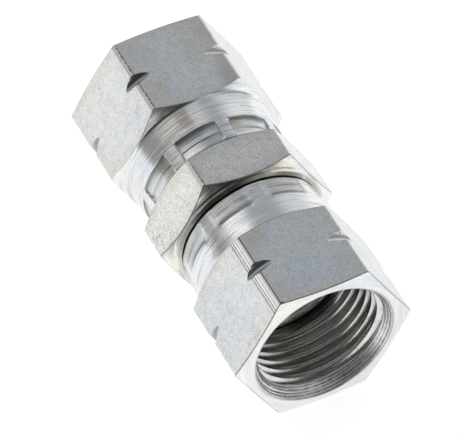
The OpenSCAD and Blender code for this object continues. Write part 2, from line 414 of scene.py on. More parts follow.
def stains_and_painted_light(finish, colour, place, spots, strength):
    """Lays soft stains, and on the turned faces some painted highlights and painted shade, over a colour. A
    spot is a patch's angle, half width, station and half length, then a tone and how much of it. Strength
    varies them all."""
    for turn, half_turn, station, half_length, tone, amount in spots:
        where = patch(finish, place, turn, half_turn, station, half_length)
        colour = finish.mix((where * amount * strength).math("MINIMUM", 1.0), colour, tone)
    return colour


print("a patch is full within 0.5 of its half angle and gone at 1.3 of it")

# %% [markdown]
# ## Flats of a drawn hexagonal bar
# The flats kept the skin of the bar: fine crystals under the zinc, specks, and faint lines along the bar.
# At the upper left corner the front nut gets a narrow light strip with dark lines, a painted reflection of
# the corner's narrow facets, and the other hexagons a painted highlight line with dark dashes, a painted
# reflection of their rounded corners. Both lie along a corner, so they are worked out from the distances to
# the corner that each point of the mesh carries, and a noise only breaks them up.

# %% Grain, specks and squiggles
def drawn_grain(finish, place, colour, grain, scale, drift):
    """Crystal noise in a dark and a light tone over a coarse mottle, with specks and thin squiggles where
    the slow drift is high. Gives the colour and what is in it."""
    crystal = finish.noise(finish.stretched(place, (0.8, 1.0, 1.0)), scale, 5.0, 0.9)
    mottle = finish.noise(place, 0.9, 5.0, 0.8)
    specks = finish.noise(place, 2.3, 3.0, 0.6).ramp(0.64, 0.70) * drift.ramp(0.40, 0.62, 0.15, 1.0)
    squiggle = line_at(finish.noise(place, 1.1, 2.0, 0.6), 0.5, 0.014) * drift.ramp(0.50, 0.64)
    colour = finish.mix(mottle.ramp(0.40, 0.70) * 0.36, colour, GRAIN_ZINC)
    colour = finish.mix(crystal.ramp(0.44, 0.74) * grain, colour, GRAIN_ZINC)
    colour = finish.mix(crystal.ramp(0.44, 0.20) * grain, colour, BRIGHT_ZINC)
    colour = finish.mix((specks * 0.45 + squiggle * 0.40) * grain, colour, DARK_ZINC)
    return colour, crystal, mottle, specks, squiggle


# %% The painted facet strip and the painted corner glint
UPPER_LEFT = (120, 24, 0.0, 60.0)
STRIP_EDGE, STRIP_END = 0.02, 1.35


def painted_facet_strip(finish, colour, upper_left, strip, lines, broken):
    """A painted light strip on one side of the upper left corner, from the corner to 1.5 mm away, with
    painted dark lines at four distances, which a noise lets wander: a painted reflection of the corner's
    narrow facets. Gives the colour and the dark lines."""
    lean = finish.attribute("lean")
    near = finish.attribute("corner").ramp(2.4, 3.0, 1.0, 0.0) * upper_left * strip
    facet_sheen = lean.ramp(-0.12, STRIP_EDGE) * lean.ramp(STRIP_END, 1.60, 1.0, 0.0) * near
    colour = finish.mix(facet_sheen * 0.65, colour, CREAM_WHITE)
    wander = lean + 0.12 * lines
    dark_lines = 0.75 * line_at(wander, 1.52, 0.16) + 0.80 * line_at(wander, 1.16, 0.15)
    dark_lines = dark_lines + 0.55 * line_at(wander, 0.66, 0.15) + 0.90 * line_at(lean, -0.20, 0.16)
    return colour, dark_lines * near * broken.ramp(0.30, 0.55, 0.6, 1.0)


def painted_corner_glint(finish, colour, upper_left, dashes, mottle, broken):
    """Along the upper left corner a painted highlight line with painted dark dashes on one side and a faint
    painted dark line on the other, all wandering with the mottle: a painted reflection of the rounded
    corner. Gives the colour and the light and dark dashes."""
    at_corner = finish.attribute("corner").ramp(0.6, 0.9, 1.0, 0.0) * upper_left * dashes
    edge_line = finish.attribute("lean") + 0.36 * mottle - 0.18
    dark_dashes = line_at(edge_line, -0.20, 0.22) * broken.ramp(0.47, 0.53, 0.15, 1.0) * at_corner
    dark_dashes = dark_dashes + 0.6 * line_at(edge_line, 0.34, 0.12) * at_corner
    light_dashes = line_at(edge_line, 0.06, 0.20) * broken.ramp(0.46, 0.52) * at_corner
    colour = finish.mix(light_dashes.math("MINIMUM", 1.0), colour, CREAM_WHITE)
    return colour, light_dashes, dark_dashes


print("the strip is", STRIP_END - STRIP_EDGE, "mm wide at full strength")

# %% The finish of the flats
ALONG_BAR, ACROSS_BAR = (0.07, 4.0, 4.0), (3.0, 0.8, 0.8)


def plated_flats(name, tint, blue, grain, scale, strip, dashes, spots=(), nicks=()):
    """Warmer near the flats' edges in places, then stains, grain, the painted facet strip and the painted
    corner glint. Nicks are small dark dents: a point in mm and a size. Where dashes are light the plating is
    matt."""
    finish, place, colour = start_plating(name, tint, blue, 0.15)
    drift = finish.noise(place, 0.28, 4.0, 0.7)
    border = finish.attribute("border")
    colour = finish.mix((border + 6.0 * drift).ramp(2.5, 5.0, 0.85, 0.0), colour, OLIVE_CREAM)
    colour = stains_and_painted_light(finish, colour, place, spots, 0.5 + drift)
    found = drawn_grain(finish, place, colour, grain, scale, drift)
    colour, crystal, mottle, specks, squiggle = found
    lines = finish.noise(finish.stretched(place, ALONG_BAR), 1.0, 3.0, 0.7)
    broken = finish.noise(finish.stretched(place, ACROSS_BAR), 1.0, 3.0, 0.7)
    upper_left = patch(finish, place, *UPPER_LEFT)
    colour, dark_lines = painted_facet_strip(finish, colour, upper_left, strip, lines, broken)
    colour, light_dashes, dark_dashes = painted_corner_glint(finish, colour, upper_left, dashes, mottle, broken)
    # The strip's lines and the corner's dashes are painted reflection, and the mark attribute adds painted
    # shade and painted reflection along the edges and in the groove.
    edge = (dark_lines + 0.75 * dark_dashes + 0.75 * finish.attribute("mark")).math("MINIMUM", 1.0)
    for x, y, z, size in nicks:
        away = finish.vector("DISTANCE", place, (x, y, z), output=1)
        edge = edge.math("MAXIMUM", (away + 0.3 * mottle).ramp(size, size + 0.25, 1.0, 0.0))
    colour = finish.mix(edge, colour, DARK_ZINC)
    roughness = 0.24 + 0.12 * crystal + 0.10 * specks + 0.5 * light_dashes
    height = 0.008 * crystal + 0.010 * mottle + 0.004 * lines - 0.01 * dark_lines - 0.006 * squiggle
    return end_plating(finish, colour, roughness, height)


# %% Flats of the three pieces
FRONT_FLAT_SPOTS = [
    (113, 9, 13.4, 2.0, TAN_ZINC, 0.7),
    (68, 7, 23.0, 3.0, OLIVE_CREAM, 0.6),
    (112, 7, 23.6, 2.4, TAN_ZINC, 0.35),
    (150, 20, 24.2, 2.0, CREAM_ZINC, 0.2),
    (140, 10, 13.6, 2.2, CREAM_ZINC, 0.3),
]
BACK_FLAT_SPOTS = [
    (65, 6, -13.4, 2.0, PLUM_ZINC, 0.55),
    (64, 4, -18.0, 7.0, BROWN_ZINC, 0.3),
    (112, 7, -14.0, 3.4, OLIVE_CREAM, 0.8),
    (73, 8, -20.6, 3.0, OLIVE_CREAM, 0.8),
    (112, 7, -23.5, 3.0, OLIVE_CREAM, 0.5),
    (150, 24, -24.0, 2.2, CREAM_ZINC, 0.25),
]
FRONT_NICKS = [(24.84, -6.0, 11.0, 0.32)]
FRONT_TINT = (0.84, 0.865, 0.88, 1)
BACK_TINT = (0.885, 0.89, 0.89, 1)
BODY_TINT = (1.0, 0.98, 0.935, 1)

front_flats = plated_flats(
    "front_nut_flats_zinc", FRONT_TINT, blue=0.45, grain=1.15, scale=3.8, strip=1.0, dashes=0.0,
    spots=FRONT_FLAT_SPOTS, nicks=FRONT_NICKS)
back_flats = plated_flats(
    "back_nut_flats_zinc", BACK_TINT, blue=0.4, grain=1.0, scale=3.6, strip=0.1, dashes=1.2,
    spots=BACK_FLAT_SPOTS)
body_flats = plated_flats(
    "body_flats_zinc", BODY_TINT, blue=0.1, grain=1.65, scale=4.6, strip=0.0, dashes=0.8)
for made in (front_flats, back_flats, body_flats):
    print(made.name, "has", len(made.node_tree.nodes), "nodes")

# %% [markdown]
# ## Turned surfaces
# The shoulder, skirts, ends and chamfers were cut on a lathe, which leaves a fine helix of rings. They
# could be a ring texture, but that repeats like a ruler. A noise that changes quickly along the outline
# and slowly round the axis gives rings of uneven width that fade in and out, as a real feed does.

# %% Rings of a tool
WIDE_RINGS, FINE_RINGS, TAP_RINGS, CUTTER_RINGS = (1.3, 0.10), (4.8, 0.20), (4.0, 0.25), (2.6, 0.05)


def rings(finish, place, along, per_mm, drift):
    """A noise that changes per_mm times a mm along the outline, and drift times a mm across the axis."""
    ring = finish.node("ShaderNodeCombineXYZ", None, {0: along * per_mm})
    sweep = finish.stretched(place, (0.0, drift, drift))
    return finish.noise(finish.vector("ADD", ring, sweep), 1.0, 3.0, 0.6)


def plated_turning(name, tint, spots, calm=()):
    """Wide and fine lathe rings in relief and in tone, over the stains and the painted highlights and
    painted shade among the spots. The end faces, known by their station, the chamfers and shoulder cones,
    known by their radius, and the calm patches, are smoother. Where the mark attribute carries painted shade
    and painted reflection, the face is darker and matter."""
    finish, place, colour = start_plating(name, tint)
    station, radius = finish.station(place), finish.radius(place)
    along = station + radius
    wide = rings(finish, place, along, *WIDE_RINGS)
    fine = rings(finish, place, along, *FINE_RINGS)
    crystal = finish.noise(place, 6.0, 3.0, 0.7)
    mark = finish.attribute("mark")
    colour = stains_and_painted_light(finish, colour, place, spots, 0.4 + fine)
    uneven = station.math("ABSOLUTE").ramp(24.6, 24.9, 1.0, 0.3)
    uneven = uneven.math("MINIMUM", radius.ramp(10.8, 11.1, 1.0, 0.32))
    for spot in calm:
        uneven = uneven * (1 - 0.65 * patch(finish, place, *spot))
    colour = finish.mix(crystal.ramp(0.42, 0.70) * 0.40, colour, GRAIN_ZINC)
    colour = finish.mix(fine.ramp(0.51, 0.64) * 0.75 * uneven, colour, GRAIN_ZINC)
    colour = finish.mix(fine.ramp(0.46, 0.36) * 0.6, colour, BRIGHT_ZINC)
    # painted shade and painted reflection from the mark attribute, mixed towards dark zinc
    colour = finish.mix((mark * (0.3 + 0.9 * wide)).math("MINIMUM", 1.0), colour, DARK_ZINC)
    roughness = 0.10 + 0.12 * fine + 0.06 * crystal + 0.20 * mark
    height = uneven * (0.075 * wide + 0.034 * fine) + 0.003 * crystal
    return end_plating(finish, colour, roughness, height)


# %% Turned faces of the three pieces
END_X, END_HALF = 25.2, 0.5
FRONT_STAINS_AND_HIGHLIGHT = [
    (131, 7, 9.3, 2.2, PLUM_ZINC, 0.8),
    # a painted highlight on the skirt
    (117, 8, 10.4, 1.2, BRIGHT_ZINC, 0.6),
    (90, 17, 9.6, 2.4, BLUE_ZINC, 0.3),
    (139, 4, 9.6, 1.6, BROWN_ZINC, 0.35),
    (128, 22, END_X, END_HALF, CREAM_ZINC, 0.5),
    (205, 20, END_X, END_HALF, CREAM_ZINC, 0.4),
    (262, 16, END_X, END_HALF, CREAM_ZINC, 0.5),
    (165, 22, END_X, END_HALF, BRIGHT_ZINC, 0.6),
    (290, 24, END_X, END_HALF, GRAIN_ZINC, 0.14),
    (340, 28, END_X, END_HALF, GRAIN_ZINC, 0.14),
]
BACK_STAINS_HIGHLIGHTS_AND_SHADE = [
    # a painted warm highlight on the skirt
    (99, 5, -9.2, 1.6, CREAM_ZINC, 0.9),
    (108, 5, -9.8, 1.6, BROWN_ZINC, 0.75),
    (138, 8, -9.6, 3.0, PLUM_ZINC, 0.8),
    (141, 5, -5.6, 1.4, BROWN_ZINC, 0.65),
    # a painted highlight on the die marks
    (113, 7, -5.3, 1.3, BRIGHT_ZINC, 0.8),
    # a painted highlight on the skirt
    (73, 4, -8.0, 0.8, CREAM_ZINC, 0.9),
    (74, 5, -6.8, 0.6, BROWN_ZINC, 0.8),
    # a painted highlight on the skirt
    (58, 12, -8.8, 1.2, BRIGHT_ZINC, 0.7),
    # a plum tone with painted shade in the groove
    (120, 8, -18.1, 1.4, PLUM_ZINC, 0.9),
    # painted shade on the shoulder at the upper left corner
    (134, 9, -11.8, 0.9, DARK_ZINC, 0.35),
    (121, 8, -9.5, 2.3, OLIVE_CREAM, 0.75),
]
# darker on the chamfer at the upper left next to the nut, and olive on the face beside the nut
BODY_DARK_PATCHES = [(133, 42, 3.1, 1.3, DARK_ZINC, 0.85), (80, 60, 3.9, 0.35, OLIVE_ZINC, 0.9)]
FRONT_CALM = [(88, 17, 9.9, 2.6)]
NUT_TURNED_TINT = (0.86, 0.86, 0.855, 1)

front_turning = plated_turning("front_nut_turned_zinc", NUT_TURNED_TINT, FRONT_STAINS_AND_HIGHLIGHT, FRONT_CALM)
back_turning = plated_turning("back_nut_turned_zinc", NUT_TURNED_TINT, BACK_STAINS_HIGHLIGHTS_AND_SHADE)
body_turning = plated_turning("body_turned_zinc", (0.92, 0.88, 0.80, 1), BODY_DARK_PATCHES)
# the count takes in the painted highlights and painted shade among the spots
print("stains on the turned faces:", len(FRONT_STAINS_AND_HIGHLIGHT) + len(BACK_STAINS_HIGHLIGHTS_AND_SHADE) + len(BODY_DARK_PATCHES))

# %% [markdown]
# ## Thread, countersink and bore
# Inside a nut the plating is thinner and duller, with the marks of the tap along the thread, painted shade
# low in the middle, and painted shade in the relief, where no light reaches. The countersink was cut by
# another tool, so one finish tells it apart by its cone: there the radius falls with the station at a known
# rate. Its rings are a sine wave whose phase a noise pushes about, which gives the sharp lines of a
# chattering cutter.

# %% The finish of the inside
LOW_PAINTED_SHADE, LOW_RIM = (285, 28, 17.0, 5.6), (285, 24, END_X, END_HALF)


def countersink_rim(finish, place, station, radius):
    """The countersink over its cutter's sine wave, with dark lines at its highs and white crests at its
    lows. Gives the colour and what is in it."""
    cutter = rings(finish, place, station + radius, *CUTTER_RINGS)
    wave = ((station + radius) * 11.0 + 9.0 * cutter).math("SINE")
    ring_lines, ring_crests = wave.ramp(0.35, 0.95), wave.ramp(-0.55, -0.95)
    cloud = finish.noise(place, 1.2, 5.0, 0.8)
    rim = finish.mix(cloud.ramp(0.42, 0.62), (0.98, 0.98, 0.98, 1), (0.84, 0.81, 0.81, 1))
    rim = finish.mix(patch(finish, place, *LOW_RIM) * 0.6, rim, BROWN_ZINC)
    rim = finish.mix(ring_crests, rim, WHITE)
    rim = finish.mix(ring_lines * cloud.ramp(0.35, 0.62, 0.35, 1.0), rim, DARK_ZINC)
    return rim, cutter, ring_lines, ring_crests, cloud


def plated_inside(name, tint):
    """Tap marks as fine rings along the outline, brown blotches, specks, painted shade low in the middle and
    the painted shade that the mark attribute carries. Cone is 1 on the countersink, which is brighter,
    matter and rougher than the thread."""
    finish, place, colour = start_plating(name, tint, 0.3)
    station, radius = finish.station(place).math("ABSOLUTE"), finish.radius(place)
    cone = line_at(radius - SINK_SLOPE * station, RIM_R - SINK_SLOPE * MOUTH_X, 0.08)
    fine = rings(finish, place, finish.attribute("along"), *TAP_RINGS)
    # painted shade low in the middle of the thread
    colour = finish.mix(patch(finish, place, *LOW_PAINTED_SHADE) * 0.55, colour, DARK_ZINC)
    blotch = finish.noise(place, 0.7, 4.0, 0.7)
    specks = finish.noise(place, 2.3, 3.0, 0.6).ramp(0.65, 0.70)
    colour = finish.mix(blotch.ramp(0.50, 0.74) * 0.45, colour, BROWN_ZINC)
    colour = finish.mix(fine.ramp(0.52, 0.70) * 0.40, colour, GRAIN_ZINC)
    rim, cutter, ring_lines, ring_crests, cloud = countersink_rim(finish, place, station, radius)
    colour = finish.mix(cone, colour, rim)
    # painted shade that the mark attribute carries, with the real specks
    dark = (0.6 * specks + finish.attribute("mark")).math("MINIMUM", 1.0)
    colour = finish.mix(dark, colour, SHADE_AND_SPECK_DARK)
    roughness = 0.13 + 0.10 * fine + 0.08 * blotch + cone * (0.02 + 0.10 * cloud + 0.22 * ring_crests)
    height = 0.012 * fine + cone * (0.06 * cutter - 0.015 * ring_lines)
    return end_plating(finish, colour, roughness, height)


nut_inside = plated_inside("nut_thread_zinc", (0.76, 0.77, 0.73, 1))
body_inside = plated_inside("body_bore_zinc", (0.67, 0.68, 0.64, 1))
print("the countersink is", round((RIM_R - THREAD_CREST_R) / SINK_SLOPE, 2), "mm deep")

# %% [markdown]
# ## Swivel nuts
# Outside, a nut is a hexagon whose back end was turned down to a skirt, with a 30 degree shoulder between
# them and a groove turned across the corners. Eight dies pressed the skirt's end in behind the collar.
# Inside are the lip, the chamber, the relief, the thread and its countersink. The rows are added one part
# of the nut at a time. The shoulder's curve on the flats comes out exactly: it is where the cone's radius
# equals the hexagon's.

# %% The crimped band
# A fully pressed mark's depth at stations along it, and how much painted shade the band gets at its rows'
# stations
DIE_STATIONS = [NUT_BACK_X, DIE_BEND_X - 0.12, DIE_BEND_X, DIE_EDGE_X - 1.1, DIE_EDGE_X - 0.5, DIE_EDGE_X]
DIE_DEPTHS = [0.14, 0.40, 0.30, 0.33, 0.25, 0.0]
BAND_SHADES = [(4.7, 0.2), (5.2, 0.2), (DIE_BEND_X - 0.12, 0.55), (DIE_BEND_X, 0.4), (6.1, 0.2)]
BAND_SHADES += [(6.4, 0.25), (6.7, 0.45), (6.95, 0.7), (7.15, 0.95), (DIE_EDGE_X - 0.05, 1.0)]
END_BEVEL, BURR = 0.11, 0.09


def die_mask(angle, turn, wall):
    """How far inside a die's mark each angle is: 1 over the mark, 0 over a rib, and between them a smooth
    slope that is wall degrees wide."""
    off = np.abs((np.degrees(angle) - turn) % 45 - 22.5)
    t = np.clip((DIE_HALF - off) / wall, 0, 1)
    return t * t * (3 - 2 * t)


def crimp_radius(x, mask, deep):
    """Radius of the crimped band: over the ribs a cone from the crimped end to the marks' front edge. A
    mark's depth runs out at the end, has a small step where the dies' nose bent the skirt, and a slope up
    to the front edge. Deep says how hard this nut's dies were pressed."""
    share = (x - NUT_BACK_X) / (DIE_EDGE_X - NUT_BACK_X)
    rib = CRIMP_END_R + (CRIMP_FRONT_R - CRIMP_END_R) * share
    return rib - deep * mask * np.interp(x, DIE_STATIONS, DIE_DEPTHS)


def add_crimped_band(line, mask, deep, wall_shade, shade_marks):
    """From the lip's inner edge over the crimped end to the front edge of the marks. The marks get painted
    shade and painted reflection by station, at least shade_marks of it, and their side walls get painted
    shade by the walls' own amount."""
    line.add(NUT_BACK_X + LIP_CHAMFER, LIP_R, TURNED)
    line.add(NUT_BACK_X, LIP_R + LIP_CHAMFER, TURNED)
    end_r = crimp_radius(NUT_BACK_X + 0.2, mask, deep)
    line.add(NUT_BACK_X, end_r - END_BEVEL, TURNED)
    line.add(NUT_BACK_X + END_BEVEL, end_r, TURNED, 0.3 * mask)
    walls = wall_shade * 4 * mask * (1 - mask)
    for x, shade in BAND_SHADES:
        dark = np.maximum(mask * max(shade, shade_marks), walls)
        line.add(x, crimp_radius(x, mask, deep), TURNED, dark)
    line.add(DIE_EDGE_X, crimp_radius(DIE_EDGE_X, mask, deep), TURNED)


print("the deepest die mark is", max(DIE_DEPTHS), "mm deep, and a burr", BURR, "mm high")

# %% Skirt and shoulder
FILLET_R = SKIRT_R + SHOULDER_R
CONE_TOP_R = FILLET_R - SHOULDER_R * np.cos(np.pi / 2 - SHOULDER_SLOPE)
FILLET_X = SHOULDER_X + (CONE_TOP_R - NUT_AF / 2) * np.tan(SHOULDER_SLOPE)
FILLET_X = FILLET_X - SHOULDER_R * np.sin(np.pi / 2 - SHOULDER_SLOPE)
BEVEL = 0.07


def shoulder_station(radius):
    """Station of the shoulder at a radius: first the fillet's circle, then the 30 degree cone."""
    reach = np.sqrt(np.maximum(SHOULDER_R**2 - (FILLET_R - radius) ** 2, 0))
    cone = SHOULDER_X + (radius - NUT_AF / 2) * np.tan(SHOULDER_SLOPE)
    return np.where(radius < CONE_TOP_R, FILLET_X + reach, cone)


def add_skirt(line, mask, hexagon):
    """Over the burr to the skirt, then up the fillet, with rows closer at its foot, and up the cone to
    just below the hexagon's edge."""
    line.add(DIE_EDGE_X + 0.07, CRIMP_FRONT_R + BURR * mask, TURNED)
    line.add(DIE_EDGE_X + 0.2, CRIMP_FRONT_R + 0.02, TURNED)
    line.between(FILLET_X, SKIRT_R, 6, TURNED)
    fillet_end = np.minimum(CONE_TOP_R, SKIRT_R + 0.9 * (hexagon - SKIRT_R))
    for t in 1 - np.cos(np.linspace(0, np.pi / 2, 8))[1:]:
        r = SKIRT_R + (fillet_end - SKIRT_R) * t
        line.add(shoulder_station(r), r, TURNED)
    for t in np.linspace(0, 1, 5)[1:]:
        r = fillet_end + (hexagon - BEVEL * 0.7 - fillet_end) * t
        line.add(shoulder_station(r), r, TURNED)


print("the shoulder's fillet starts at station", round(FILLET_X, 3))

# %% Flats, groove and mouth
ROW_GAP = 0.006
GROOVE_FLOOR_HALF = 0.05
BACK_WALL_SHADES = [(0.9, 0.7), (0.7, 1.1), (0.45, 0.95), (0.28, 0.25)]
FRONT_WALL_SHADES = [(0.25, 1.4), (0.5, 1.4), (0.75, 1.3), (0.92, 0.9)]
SHADED_ANGLE = np.radians(130)


def groove_rows(angle, hexagon, side):
    """Rows across the groove: offset from its middle, radius, and how dark. Deep is how far the hexagon
    stands above the bottom. The back wall is a circle, the tool's nose, the bottom is narrow, and the
    front wall is straight. Each ends where it meets the hexagon, so where deep is 0 the rows lie on the
    flat, a hair apart. The groove is darkest at the upper left corner, which mirrors the dark room."""
    deep = np.maximum(hexagon - GROOVE_R, 0)
    floor_half = ROW_GAP + np.minimum(0.3 * deep, GROOVE_FLOOR_HALF)
    back_half = np.sqrt(2 * GROOVE_NOSE * deep - deep**2) + floor_half + ROW_GAP
    front_half = deep * np.tan(GROOVE_HALF) + floor_half + ROW_GAP
    bottom = np.minimum(hexagon, GROOVE_R)
    world_angle = angle if side > 0 else np.pi - angle
    shade = np.clip(0.1 + np.cos(world_angle - SHADED_ANGLE), 0.15, 1) * np.clip(8 * deep, 0, 1)
    rows = [(-back_half, hexagon, 0.0)]
    for t, dark in BACK_WALL_SHADES:
        reach = (back_half - floor_half) * t
        wall = GROOVE_R + GROOVE_NOSE - np.sqrt(GROOVE_NOSE**2 - np.minimum(reach, GROOVE_NOSE) ** 2)
        rows.append((-floor_half - reach, np.minimum(hexagon, wall), shade * dark))
    rows += [(-floor_half, bottom, 0.7 * shade), (floor_half, bottom, 1.4 * shade)]
    for t, dark in FRONT_WALL_SHADES:
        reach = floor_half + (front_half - floor_half) * t
        rows.append((reach, bottom + (hexagon - bottom) * t, shade * dark))
    rows.append((front_half, hexagon, 0.0))
    return rows


def mouth_station(radius):
    """Station of the end chamfer at a radius outside the flat ring."""
    return MOUTH_X - (radius - MOUTH_RING_R) * np.tan(MOUTH_SLOPE)


def add_flats(line, hexagon, side):
    """Along the hexagon, through the groove and on to the mouth's edge, and gives the stations of the
    flats' two ends. Both nuts show the rounded wall on the same side of the world, so on the back nut
    the groove's rows come in reverse. Only the rows between its edges take the turned finish."""
    back_edge = shoulder_station(hexagon) + BEVEL
    # The 0.4 here and the 0.9 at the front edge are painted dark lines along the hexagon's edges, a painted
    # reflection of the small bevels.
    line.add(back_edge, hexagon, FLAT, 0.4)
    line.add(back_edge + 0.12, hexagon, FLAT)
    groove = groove_rows(line.angle, hexagon, side)[::side]
    line.between(GROOVE_X + side * groove[0][0], hexagon, 4, FLAT)
    line.finish[-1] = TURNED
    for offset, radius, dark in groove[1:]:
        line.add(GROOVE_X + side * offset, radius, TURNED, dark)
    line.finish[-1] = FLAT
    front_edge = mouth_station(hexagon) - BEVEL
    line.between(front_edge - 0.1, hexagon, 4, FLAT)
    line.add(front_edge, hexagon, TURNED, 0.9)
    return back_edge, front_edge


def add_mouth(line, hexagon):
    """Over the edge of the hexagon, painted dark as a painted reflection of its bevel, down the end chamfer,
    across the flat ring and over the rim, which also gets a painted dark line.
    """
    line.add(mouth_station(hexagon - BEVEL), hexagon - BEVEL, TURNED, 0.9)
    line.add(mouth_station(hexagon - BEVEL - 0.08), hexagon - BEVEL - 0.08, TURNED)
    line.between(MOUTH_X, MOUTH_RING_R, 3, TURNED)
    line.between(MOUTH_X, RIM_R + 0.14, 2, TURNED)
    line.add(MOUTH_X - 0.03, RIM_R + 0.07, TURNED, 0.6)
    line.add(MOUTH_X - 0.09, RIM_R, INSIDE, 0.55)
    line.add(MOUTH_X - 0.14, RIM_R - 0.14, INSIDE)


print("the groove's middle lies", round(MOUTH_X - GROOVE_X, 2), "mm behind the mouth")

# %% [markdown]
# ### Thread
# A thread could be swept along a helix and joined to the bore, which leaves seams at both ends. Here its
# rows climb one pitch a turn, and the last column joins the row one pitch on, so the helix closes by
# itself. Rows that would pass the rim or the relief are held there, which gives the run-out.

# %% Profile and rows of the thread
THREAD_STEPS = np.array([-0.5, -0.43, -0.40, -0.37, -0.33, -0.28, -0.23, -0.18, -0.145, -0.12, -0.08])
THREAD_STEPS = np.concatenate([THREAD_STEPS, [0], -THREAD_STEPS[:0:-1]])
THREAD_SOFT, CUT_SOFT = 0.05, 0.03


def thread_radius(phase):
    """Radius of the internal thread at a place along one pitch, from -0.5 to 0.5 pitch about a crest:
    the crest's flat, a flank that runs out at 30 degrees from the radial plane, and the root's flat. The
    corners are blended over a few hundredths of a millimetre, as a worn tap leaves them."""
    d = np.abs(phase) * PITCH
    flank = THREAD_CREST_R + (d - PITCH / 8) / np.tan(np.pi / 6)
    low = 0.5 * (flank + THREAD_CREST_R + np.sqrt((flank - THREAD_CREST_R) ** 2 + THREAD_SOFT**2))
    return 0.5 * (low + THREAD_ROOT_R - np.sqrt((low - THREAD_ROOT_R) ** 2 + THREAD_SOFT**2))


def add_thread(line, start_turn):
    """Rows of the thread from the rim to the relief. A row's station is its phase plus the angle's share
    of a turn, times the pitch, held between the two ends. Its radius is the thread's, or the cone's of the
    countersink or of the relief where that is larger. Start_turn turns the whole helix."""
    turns = int(np.ceil((THREAD_FRONT_X - THREAD_BACK_X) / PITCH)) + 2
    phases = np.concatenate([THREAD_STEPS - k for k in range(turns, -1, -1)])
    phases = np.sort(phases)[::-1]
    joins = np.maximum(np.arange(len(phases)) - len(THREAD_STEPS), 0) + len(line.x)
    helix = line.angle / TURN + start_turn
    whole = np.floor((THREAD_FRONT_X + 0.01) / PITCH - start_turn) + 1
    for phase, join in zip(phases, joins):
        x = np.clip((phase + whole + helix) * PITCH, THREAD_BACK_X, THREAD_FRONT_X)
        thread = thread_radius((phase + 0.5) % 1 - 0.5)
        countersink = RIM_R - (MOUTH_X - x) * SINK_SLOPE
        relief = RELIEF_R - (x - THREAD_BACK_X + 0.025)
        cut = np.maximum(countersink, relief)
        r = 0.5 * (cut + thread + np.sqrt((cut - thread) ** 2 + CUT_SOFT**2))
        held = (x == THREAD_BACK_X) | (x == THREAD_FRONT_X)
        line.add(x, np.where(held, cut, r), INSIDE, joins=join)


print("one pitch of thread takes", len(THREAD_STEPS), "rows")

# %% [markdown]
# ### From parts to nuts
# Both nuts come from one function. They differ in how hard the dies were pressed, how steep the marks'
# walls are, where the thread starts, and how round the bar's corners are.

# %% Rows of a whole nut
def nut_columns(die_turn, die_wall, edge_r):
    """Angles of a nut's columns, in degrees at first: over the rounded corners, where the groove runs out
    on the flats, and over both walls of each die mark."""
    groove_tip = 30 - np.degrees(np.arccos(NUT_AF / 2 / GROOVE_R))
    keys = corner_keys(NUT_AF, edge_r)
    keys += [60 * k + s * (groove_tip - t) for k in range(6) for s in (-1, 1) for t in (0, 0.35, 0.9)]
    dies = [die_turn + 22.5 + 45 * k for k in range(8)]
    keys += [c + s * (DIE_HALF - die_wall * t) for c in dies for s in (-1, 1) for t in (0, 0.5, 1)]
    return columns(keys, NUT_STEP)


def nut_outline(side, edge_r, die_turn, die_wall, deep, wall_shade, shade_marks, start_turn):
    """Rows from the crimped end over the outside to the mouth, and back through the thread."""
    angle = nut_columns(die_turn, die_wall, edge_r)
    mask = die_mask(angle, die_turn, die_wall)
    hexagon = hexagon_radius(angle, NUT_AF, edge_r)
    line = Outline(angle)
    add_crimped_band(line, mask, deep, wall_shade, shade_marks)
    add_skirt(line, mask, hexagon)
    back_edge, front_edge = add_flats(line, hexagon, side)
    add_mouth(line, hexagon)
    add_thread(line, start_turn)
    # The relief and the chamber get painted shade, darkest at the relief's back.
    line.add(THREAD_BACK_X - 0.1, RELIEF_R, INSIDE, 0.35)
    line.add(RELIEF_BACK_X + RELIEF_R - CHAMBER_R, RELIEF_R, INSIDE, 0.85)
    line.add(RELIEF_BACK_X, CHAMBER_R, INSIDE, 0.9)
    line.between(CHAMBER_X, CHAMBER_R, 3, INSIDE, 0.6)
    line.add(LIP_FRONT_X, LIP_R, INSIDE)
    line.measure_flats(back_edge, front_edge, NUT_AF, side)
    return line


front_rows = nut_outline(
    side=1, edge_r=FRONT_EDGE_R, die_turn=1, die_wall=5.5, deep=0.42, wall_shade=0.45,
    shade_marks=0.38, start_turn=0.33)
back_rows = nut_outline(
    side=-1, edge_r=BACK_EDGE_R, die_turn=6, die_wall=1.8, deep=1.0, wall_shade=0.7,
    shade_marks=0.2, start_turn=0.7)
front_nut = make_piece("front_nut_shell", front_rows, 1, [front_flats, front_turning, nut_inside])
back_nut = make_piece("back_nut_shell", back_rows, -1, [back_flats, back_turning, nut_inside])

# %% [markdown]
# ## Body
# The body is the same kind of grid: a hexagon with 30 degree chamfers, flat rings, and on each side a
# neck, a collar, a nose and the 37 degree cone of the seat that runs into the bore. One half of the
# outline is enough, because the other half is its mirror image.

# %% Rows of the body
BODY_SLOPE = np.tan(np.radians(30))


def chamfer_station(radius):
    """Station of the hexagon's 30 degree chamfer at a radius outside the flat ring."""
    return HEX_FACE_X - (radius - BODY_RING_R) * BODY_SLOPE


